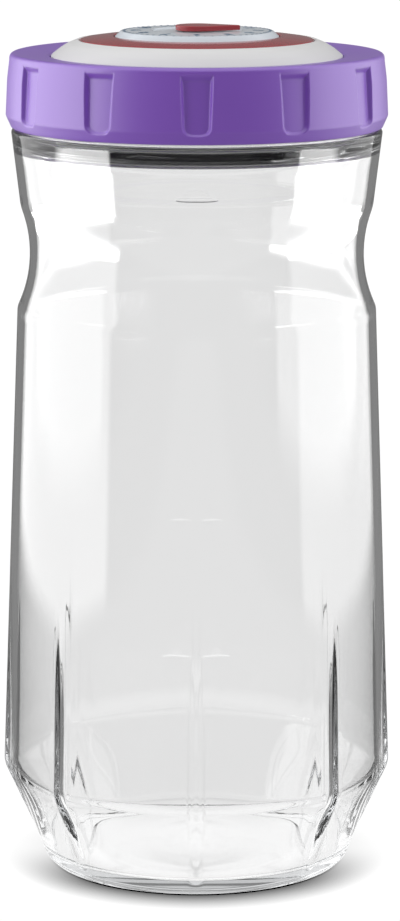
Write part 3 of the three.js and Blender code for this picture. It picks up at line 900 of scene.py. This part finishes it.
def ring_angles(s):
    """Directions of the ring's columns, closer on the sides of the recesses."""
    sector = 2 * math.pi / s.grip_count
    near, far = (s.grip_low / 2 - 1.6 * s.grip_side) / s.wide_radius, (s.grip_top / 2 + 0.0002) / s.wide_radius
    columns = []
    for i in range(s.grip_count):
        centre = i * sector
        columns += merged_rows(
            [
                (centre - far, centre - near, 0.0038),
                (centre - near, centre + near, 0.014),
                (centre + near, centre + far, 0.0038),
                (centre + far, centre + sector - far, 0.02),
            ],
            1e-4,
        )
    return sorted(set(round(c % (2 * math.pi), 7) for c in columns))


def ring_mesh(s):
    """The grip ring before its recesses, with the screw thread inside."""
    low_z = RING_BOX[0].z
    outside = rounded_profile(
        [
            (s.bore, low_z, 0),
            (s.low_radius, low_z, 0.0004),
            (s.wide_radius, s.wide_z, 0.0016),
            (s.mid_radius, s.mid_z, 0.02),
            (s.top_radius, s.top_z, s.top_round),
            (s.lip_radius, s.lip_z, s.lip_round),
            (s.lip_radius, s.flange_z, 0),
        ],
        0.0011,
    )
    low_edge = (s.grip_low_z, s.grip_low_z + s.grip_corner, 0.00022)
    top_edge = (s.grip_top_z - 1.1 * s.grip_fade, s.grip_top_z, 0.0003)
    fine = merged_rows([low_edge, top_edge])
    outside = densify(outside, fine)
    inside = [(s.bore, s.flange_z)] + [(s.bore, z) for z in reversed(spaced(low_z + 0.0006, 0.2105, 0.0006))]
    outer_rows = len(outside)
    thread = dict(NECK_THREAD, start=NECK_THREAD["start"] + NECK_THREAD["pitch"] / 2)

    def radius_at(row, r, z, a):
        if row <= outer_rows:
            return r
        return r - thread_relief(thread, z, a) * 0.0011

    return revolve("grip_ring", outside + inside, ring_angles(s), closed=True, radius_at=radius_at)


def densify(profile, heights):
    """Adds points to the outer wall of a profile at the given heights."""
    path = [profile[0]]
    for (r0, z0), (r1, z1) in zip(profile, profile[1:]):
        if z1 > z0 + 1e-6:
            for z in heights:
                if z0 + 1e-5 < z < z1 - 1e-5:
                    path.append((lerp(r0, r1, (z - z0) / (z1 - z0)), z))
        path.append((r1, z1))
    return path


class JAR_OT_ring(bpy.types.Operator):
    """Make the purple screw ring with its grip recesses"""

    bl_idname = "storage_jar.ring"
    bl_label = "Grip ring"

    def execute(self, context):
        s = context.scene.storage_jar_ring
        piece = add_object("grip_ring", ring_mesh(s))
        lean = (s.wide_radius - s.top_radius) / (s.top_z - s.wide_z)
        floor = s.wide_radius + s.wall_bulge - s.grip_depth
        values = {
            "Grips": s.grip_count,
            "Half width low": s.grip_low / 2,
            "Half width top": s.grip_top / 2,
            "Low": s.grip_low_z,
            "Top": s.grip_top_z,
            "Corner": s.grip_corner,
            "Side": s.grip_side,
            "Fade": s.grip_fade,
            "Floor low": floor - lean * (s.grip_low_z - s.wide_z),
            "Floor top": floor - lean * (s.grip_top_z - s.wide_z),
            "Material": solid_plastic("purple_plastic", s.purple, 0.42, mirror=1.68),
        }
        run_tree(piece, grip_tree(), values)
        finish_piece(piece, "purple_plastic", "screw_ring")
        return {"FINISHED"}


class JAR_OT_disc(bpy.types.Operator):
    """Make the white lid disc with its dome, flange and plug"""

    bl_idname = "storage_jar.disc"
    bl_label = "Lid disc"

    def execute(self, context):
        s = context.scene.storage_jar_lid
        plug_low = DISC_BOX[0].z
        flange_top = context.scene.storage_jar_ring.flange_z - s.gap
        flange_low = JAR_BOX[1].z + s.gap
        profile = rounded_profile(
            [
                (0, s.seat_z - s.thickness, 0),
                (s.underside_radius, s.underside_z, 0.01),
                (s.plug_radius - s.plug_wall, s.plug_top_z, 0.003),
                (s.plug_radius - s.plug_wall, plug_low, 0.0004),
                (s.plug_radius - 0.0002, plug_low, 0.0005),
                (s.plug_radius, flange_low, 0.0003),
                (s.flange_radius, flange_low, 0.0003),
                (s.flange_radius, flange_top, 0.0003),
                (s.disc_radius, flange_top, 0.0003),
                (s.disc_radius, s.disc_edge_z + s.disc_round, s.disc_round),
                (0.036, 0.21735, 0.006),
                (0.0338, 0.21875, 0.008),
                (0.0318, 0.21955, 0.004),
                (s.dial_radius + 2 * s.gap, s.dial_edge_z, 0.0003),
                (s.dial_radius + s.gap, s.dial_edge_z - 0.0003, 0.0001),
                (s.dial_radius + s.gap, s.seat_z, 0.0001),
                (0, s.seat_z, 0),
            ],
            0.0012,
        )
        piece = add_object("lid_dome", revolve("lid_dome", profile, even_angles(180)))
        material = solid_plastic("white_plastic", s.white, 0.3)
        finish_piece(piece, "white_plastic", "lid_disc", material=material)
        return {"FINISHED"}


def plate_height(s, r):
    """Height of the faint dome of the dial's plate at a radius."""
    return s.plate_top_z - (s.plate_top_z - s.plate_rim_z) * (r / s.plate_rim) ** 2


def band_corners(s):
    """Corners of the band's top, from its outer edge inwards. It falls faster near its outer edge."""
    corners = []
    for i in range(7):
        share = 1 - i / 6
        z = lerp(s.band_inner_z, s.dial_edge_z, share**s.band_bend)
        corners.append((lerp(s.band_inner, s.dial_radius, share), z, 0.0003 if i in (0, 6) else 0.02))
    return corners


class JAR_OT_band(bpy.types.Operator):
    """Make the red band of the dial"""

    bl_idname = "storage_jar.band"
    bl_label = "Dial band"

    def execute(self, context):
        s = context.scene.storage_jar_lid
        low = BAND_BOX[0].z
        corners = [(s.band_inner, low, 0), (s.dial_radius, low, 0), *band_corners(s)]
        profile = rounded_profile(corners + [(s.band_inner, low + 0.0001, 0)], 0.0008)
        mesh = revolve("dial_band_dome", profile, even_angles(180), closed=True)
        piece = add_object("dial_band_dome", mesh)
        material = solid_plastic("red_plastic", s.red, 0.12)
        finish_piece(piece, "red_plastic", "dial_band", material=material)
        return {"FINISHED"}


class JAR_OT_plate(bpy.types.Operator):
    """Make the pale plate of the dial, with a seat for the pointer"""

    bl_idname = "storage_jar.plate"
    bl_label = "Dial plate"

    def execute(self, context):
        s = context.scene.storage_jar_lid
        outer = s.band_inner - s.gap
        seat = s.pointer_tip + 0.0006
        seat_z = POINTER_BOX[0].z - s.gap
        low = PLATE_BOX[0].z
        profile = rounded_profile(
            [
                (0, low, 0),
                (outer, low, 0),
                (outer, s.plate_edge_z, 0.0001),
                (s.plate_rim, s.plate_rim_z, 0.0004),
                (seat, plate_height(s, seat), 0.00015),
                (seat - 0.0002, seat_z, 0.0001),
                (0, seat_z, 0),
            ],
            0.0008,
        )
        piece = add_object("dial_plate_dome", revolve("dial_plate_dome", profile, even_angles(144)))
        material = solid_plastic("pale_plastic", s.pale, 0.16)
        finish_piece(piece, "pale_plastic", "dial_plate", material=material)
        return {"FINISHED"}


def teardrop_outline(round_radius, tip):
    """Points of a round outline drawn out to a tip towards +X, anticlockwise."""
    half = math.acos(round_radius / tip)
    count = 48
    points = [(tip, 0.0)]
    for i in range(count + 1):
        a = half + (2 * math.pi - 2 * half) * i / count
        points.append((round_radius * math.cos(a), round_radius * math.sin(a)))
    return points


class JAR_OT_pointer(bpy.types.Operator):
    """Make the red pointer in the middle of the dial"""

    bl_idname = "storage_jar.pointer"
    bl_label = "Dial pointer"

    def execute(self, context):
        s = context.scene.storage_jar_lid
        low, high = POINTER_BOX[0].z, POINTER_BOX[1].z
        outline = teardrop_outline(s.pointer_radius, s.pointer_tip)
        steps = 5
        layers = [(1.0, low)]
        for i in range(steps + 1):
            a = math.pi / 2 * i / steps
            inset = s.pointer_bevel * (1 - math.cos(a)) / s.pointer_radius
            layers.append((1 - inset, high - s.pointer_bevel * (1 - math.sin(a))))
        points = [(x * scale, y * scale, z) for scale, z in layers for x, y in outline]
        count = len(outline)
        faces = [list(reversed(range(count)))]
        for layer in range(len(layers) - 1):
            for i in range(count):
                k = (i + 1) % count
                a, b = layer * count, (layer + 1) * count
                faces.append([a + i, a + k, b + k, b + i])
        faces.append([(len(layers) - 1) * count + i for i in range(count)])
        mesh = bpy.data.meshes.new("dial_pointer_knob")
        mesh.from_pydata(points, [], faces)
        mesh.validate()
        piece = add_object("dial_pointer_knob", mesh)
        material = solid_plastic("red_pointer", s.red, 0.22)
        finish_piece(piece, "red_plastic", "dial_pointer", material=material)
        return {"FINISHED"}


def number_mesh(s, text, direction):
    """A printed number laid on the dome, its foot towards the middle."""
    curve = bpy.data.curves.new("number", "FONT")
    curve.body = text
    curve.size = s.number_size
    curve.align_x = "CENTER"
    curve.align_y = "CENTER"
    curve.extrude = 0.00006
    holder = add_object("number", curve)
    bpy.context.view_layer.update()
    mesh = bpy.data.meshes.new_from_object(holder.evaluated_get(bpy.context.evaluated_depsgraph_get()))
    bpy.data.objects.remove(holder)
    bpy.data.curves.remove(curve)
    for vertex in mesh.vertices:
        x, y, z = vertex.co
        radial = s.number_radius + y
        place_x = radial * math.sin(direction) + x * math.cos(direction)
        place_y = radial * math.cos(direction) - x * math.sin(direction)
        reach = math.hypot(place_x, place_y)
        vertex.co = (place_x, place_y, plate_height(s, reach) + z)
    return mesh


def joined_mesh(name, meshes):
    """One mesh of several."""
    points, faces = [], []
    for mesh in meshes:
        start = len(points)
        points += [tuple(v.co) for v in mesh.vertices]
        faces += [[start + i for i in p.vertices] for p in mesh.polygons]
        bpy.data.meshes.remove(mesh)
    made = bpy.data.meshes.new(name)
    made.from_pydata(points, [], faces)
    made.validate()
    return made


class JAR_OT_print(bpy.types.Operator):
    """Print plain numbers and ticks on the dial"""

    bl_idname = "storage_jar.print"
    bl_label = "Dial print"

    def execute(self, context):
        s = context.scene.storage_jar_lid
        ink = solid_plastic("dial_ink", s.ink, 0.35)
        turn = 2 * math.pi / s.number_count
        meshes = [number_mesh(s, str(i), i * turn) for i in range(1, s.number_count + 1)]
        numbers = add_object("dial_numbers", joined_mesh("dial_numbers", meshes))
        finish_piece(numbers, "pale_plastic", material=ink)
        width, depth, thick = 0.0003, 0.0007, 0.00008
        corners = [(x, y, z) for z in (-thick, thick) for x, y in ((-1, -1), (1, -1), (1, 1), (-1, 1))]
        points = [(x * width / 2, y * depth / 2, z) for x, y, z in corners]
        faces = [(3, 2, 1, 0), (4, 5, 6, 7), (0, 1, 5, 4), (1, 2, 6, 5), (2, 3, 7, 6), (3, 0, 4, 7)]
        mesh = bpy.data.meshes.new("dial_ticks")
        mesh.from_pydata(points, [], faces)
        ticks = add_object("dial_ticks", mesh)
        rise = 2 * (s.plate_top_z - s.plate_rim_z) * s.tick_radius / s.plate_rim**2
        values = {
            "Ticks": s.tick_count,
            "Radius": s.tick_radius,
            "Height": plate_height(s, s.tick_radius),
            "Slope": math.atan(rise),
            "Material": ink,
        }
        run_tree(ticks, tick_tree(), values)
        ticks.data.shade_flat()
        finish_piece(ticks, "pale_plastic")
        return {"FINISHED"}


def straight_level(tree, s):
    """Brightness of the plain backdrop, seen directly or through the jar, and whether the light was mirrored."""
    path = tree.nodes.new("ShaderNodeLightPath").outputs
    seen = path["Is Camera Ray"]
    level = maths(tree, "ADD", s.through_level, maths(tree, "MULTIPLY", seen, s.plain_level - s.through_level))
    mirrored = maths(tree, "MINIMUM", maths(tree, "ADD", path["Glossy Depth"], path["Diffuse Depth"]), 1.0)
    return level, mirrored, seen


def add_floor(s):
    """A wide white floor with a soft contact shadow. Its mirrored image ends between the side lights."""
    mesh = bpy.data.meshes.new("floor")
    reach = 12.0
    mesh.from_pydata([(-reach, -reach, 0), (reach, -reach, 0), (reach, reach, 0), (-reach, reach, 0)], [], [(0, 1, 2, 3)])
    floor = add_object("floor", mesh)
    material = bpy.data.materials.new("white_floor")
    material.use_nodes = True
    tree = material.node_tree
    tree.nodes.clear()
    level, mirrored, seen = straight_level(tree, s)
    place = tree.nodes.new("ShaderNodeTexCoord").outputs["Object"]
    split = tree.nodes.new("ShaderNodeSeparateXYZ")
    tree.links.new(place, split.inputs[0])
    away = tree.nodes.new("ShaderNodeVectorMath")
    away.operation = "LENGTH"
    tree.links.new(place, away.inputs[0])
    distance = away.outputs["Value"]
    contact = tree.nodes.new("ShaderNodeAmbientOcclusion")
    contact.samples = 16
    contact.inputs["Distance"].default_value = s.shadow_reach
    shade = maths(tree, "MULTIPLY", maths(tree, "SUBTRACT", 1.0, contact.outputs["AO"]), s.shadow_depth)
    in_front = ramp(tree, split.outputs["Y"], -0.035, 0.005, 1.0, 0.15)
    shade = maths(tree, "MULTIPLY", maths(tree, "MULTIPLY", shade, in_front), seen)
    lit = maths(tree, "MULTIPLY", level, maths(tree, "SUBTRACT", 1.0, shade))
    change = maths(tree, "MULTIPLY", mirrored, maths(tree, "SUBTRACT", s.table_level, lit))
    far = maths(tree, "ADD", lit, change)
    more_reach = maths(tree, "MULTIPLY", mirrored, s.near_mirrored - s.near_reach)
    reach = maths(tree, "ADD", s.near_reach, more_reach)
    near = ramp(tree, maths(tree, "DIVIDE", distance, reach), 0.85, 1.15, 1.0, 0.0)
    near = maths(tree, "MULTIPLY", near, maths(tree, "SUBTRACT", 1.0, seen))
    glow = tree.nodes.new("ShaderNodeEmission")
    more = maths(tree, "MULTIPLY", near, maths(tree, "SUBTRACT", s.near_level, far))
    tree.links.new(maths(tree, "ADD", far, more), glow.inputs["Strength"])
    aside = maths(tree, "ABSOLUTE", split.outputs["X"])
    past_table = ramp(tree, aside, s.table_half * 0.8, s.table_half * 1.2)
    clear = tree.nodes.new("ShaderNodeBsdfTransparent")
    mix = tree.nodes.new("ShaderNodeMixShader")
    tree.links.new(maths(tree, "MULTIPLY", past_table, mirrored), mix.inputs[0])
    tree.links.new(glow.outputs[0], mix.inputs[1])
    tree.links.new(clear.outputs[0], mix.inputs[2])
    out = tree.nodes.new("ShaderNodeOutputMaterial")
    tree.links.new(mix.outputs[0], out.inputs["Surface"])
    mesh.materials.append(material)


def add_studio_light(s):
    """Light all round: two tall side lights, a top light, a dim room in front and a plain backdrop."""
    world = bpy.data.worlds.new("studio")
    bpy.context.scene.world = world
    world.use_nodes = True
    tree = world.node_tree
    background = tree.nodes["Background"]
    split = tree.nodes.new("ShaderNodeSeparateXYZ")
    place = tree.nodes.new("ShaderNodeTexCoord")
    tree.links.new(place.outputs["Generated"], split.inputs[0])
    x, y, z = split.outputs
    aside = maths(tree, "ARCTAN2", maths(tree, "ABSOLUTE", x), maths(tree, "MULTIPLY", y, -1.0))
    soft = s.strip_soft / 2
    right = maths(tree, "GREATER_THAN", x, 0.0)
    start = maths(tree, "ADD", s.left_from, maths(tree, "MULTIPLY", right, s.right_from - s.left_from))
    from_start = maths(tree, "SUBTRACT", aside, start)
    starts = ramp(tree, from_start, -soft, soft)
    ends = ramp(tree, aside, s.strip_to - soft, s.strip_to + soft, 1.0, 0.0)
    behind = ramp(tree, aside, s.strip_to - soft, s.strip_to + soft)
    path = tree.nodes.new("ShaderNodeLightPath").outputs
    dull = path["Is Diffuse Ray"]
    entered = maths(tree, "MINIMUM", path["Transmission Depth"], 1.0)
    front = maths(tree, "ADD", s.front_level, maths(tree, "MULTIPLY", dull, s.front_fill - s.front_level))
    high = maths(tree, "MULTIPLY", ramp(tree, z, 0.1, 0.3), entered)
    back = maths(tree, "ADD", s.back_level, maths(tree, "MULTIPLY", high, s.back_high - s.back_level))
    room = maths(tree, "ADD", front, maths(tree, "MULTIPLY", behind, maths(tree, "SUBTRACT", back, front)))
    bright = maths(tree, "ADD", s.left_level, maths(tree, "MULTIPLY", right, s.right_level - s.left_level))
    lower = maths(tree, "MULTIPLY", ramp(tree, z, -0.25, -0.27), ramp(tree, z, -0.5, -0.6, 1.0, 0.0))
    lower = maths(tree, "MULTIPLY", lower, path["Is Singular Ray"])
    boost = maths(tree, "ADD", 1.0, maths(tree, "MULTIPLY", lower, s.low_boost - 1.0))
    bright = maths(tree, "MULTIPLY", bright, boost)
    strips = maths(tree, "MULTIPLY", maths(tree, "MULTIPLY", starts, ends), bright)
    level = maths(tree, "ADD", room, strips)
    overhead = ramp(tree, z, 0.55, 0.75)
    upward = maths(tree, "MULTIPLY", overhead, maths(tree, "SUBTRACT", s.top_level, level))
    studio = maths(tree, "ADD", level, upward)
    level, mirrored, _ = straight_level(tree, s)
    change = maths(tree, "MULTIPLY", mirrored, maths(tree, "SUBTRACT", studio, level))
    tree.links.new(maths(tree, "ADD", level, change), background.inputs["Strength"])
    background.inputs["Color"].default_value = (1, 1, 1, 1)


def add_camera(s):
    """The camera at the photograph's angle."""
    lens = bpy.data.cameras.new("camera")
    lens.lens = s.lens
    lens.sensor_width = 36.0
    lens.clip_start, lens.clip_end = 0.05, 60.0
    camera = add_object("camera", lens)
    camera.location = (s.camera_x, -s.camera_distance, s.camera_z)
    tilt = Euler((math.pi / 2 - s.camera_pitch, 0, 0)).to_matrix()
    roll = Euler((0, 0, s.camera_roll)).to_matrix()
    camera.rotation_euler = (tilt @ roll).to_euler()
    bpy.context.scene.camera = camera


class JAR_OT_stage(bpy.types.Operator):
    """Set the floor, the light and the camera"""

    bl_idname = "storage_jar.stage"
    bl_label = "Studio"

    def execute(self, context):
        s = context.scene.storage_jar_studio
        add_floor(s)
        add_studio_light(s)
        add_camera(s)
        scene = context.scene
        scene.view_settings.view_transform = "Standard"
        scene.view_settings.look = "None"
        scene.cycles.max_bounces = 12
        scene.cycles.transmission_bounces = 10
        scene.cycles.glossy_bounces = 12
        scene.cycles.transparent_max_bounces = 12
        return {"FINISHED"}


class JAR_PT_panel(bpy.types.Panel):
    """Lists the steps that make the jar"""

    bl_label = "Storage jar"
    bl_idname = "JAR_PT_panel"
    bl_space_type = "VIEW_3D"
    bl_region_type = "UI"
    bl_category = "Storage jar"

    def draw(self, context):
        for step in STEPS:
            self.layout.operator(step.bl_idname)


SETTINGS = {
    "storage_jar_body": JarBodySettings,
    "storage_jar_ring": ScrewRingSettings,
    "storage_jar_lid": LidDialSettings,
    "storage_jar_studio": StudioSettings,
}
STEPS = (
    JAR_OT_stage,
    JAR_OT_body,
    JAR_OT_ring,
    JAR_OT_disc,
    JAR_OT_band,
    JAR_OT_plate,
    JAR_OT_pointer,
    JAR_OT_print,
)


def register():
    """Adds the settings, the steps and the panel."""
    for label, group in SETTINGS.items():
        bpy.utils.register_class(group)
        setattr(bpy.types.Scene, label, PointerProperty(type=group))
    for step in STEPS:
        bpy.utils.register_class(step)
    bpy.utils.register_class(JAR_PT_panel)


def unregister():
    """Takes the settings, the steps and the panel away again."""
    bpy.utils.unregister_class(JAR_PT_panel)
    for step in reversed(STEPS):
        bpy.utils.unregister_class(step)
    for label, group in SETTINGS.items():
        delattr(bpy.types.Scene, label)
        bpy.utils.unregister_class(group)


def main():
    """Makes every piece in order."""
    register()
    for step in STEPS:
        group, name = step.bl_idname.split(".")
        getattr(getattr(bpy.ops, group), name)()


if __name__ == "__main__":
    main()
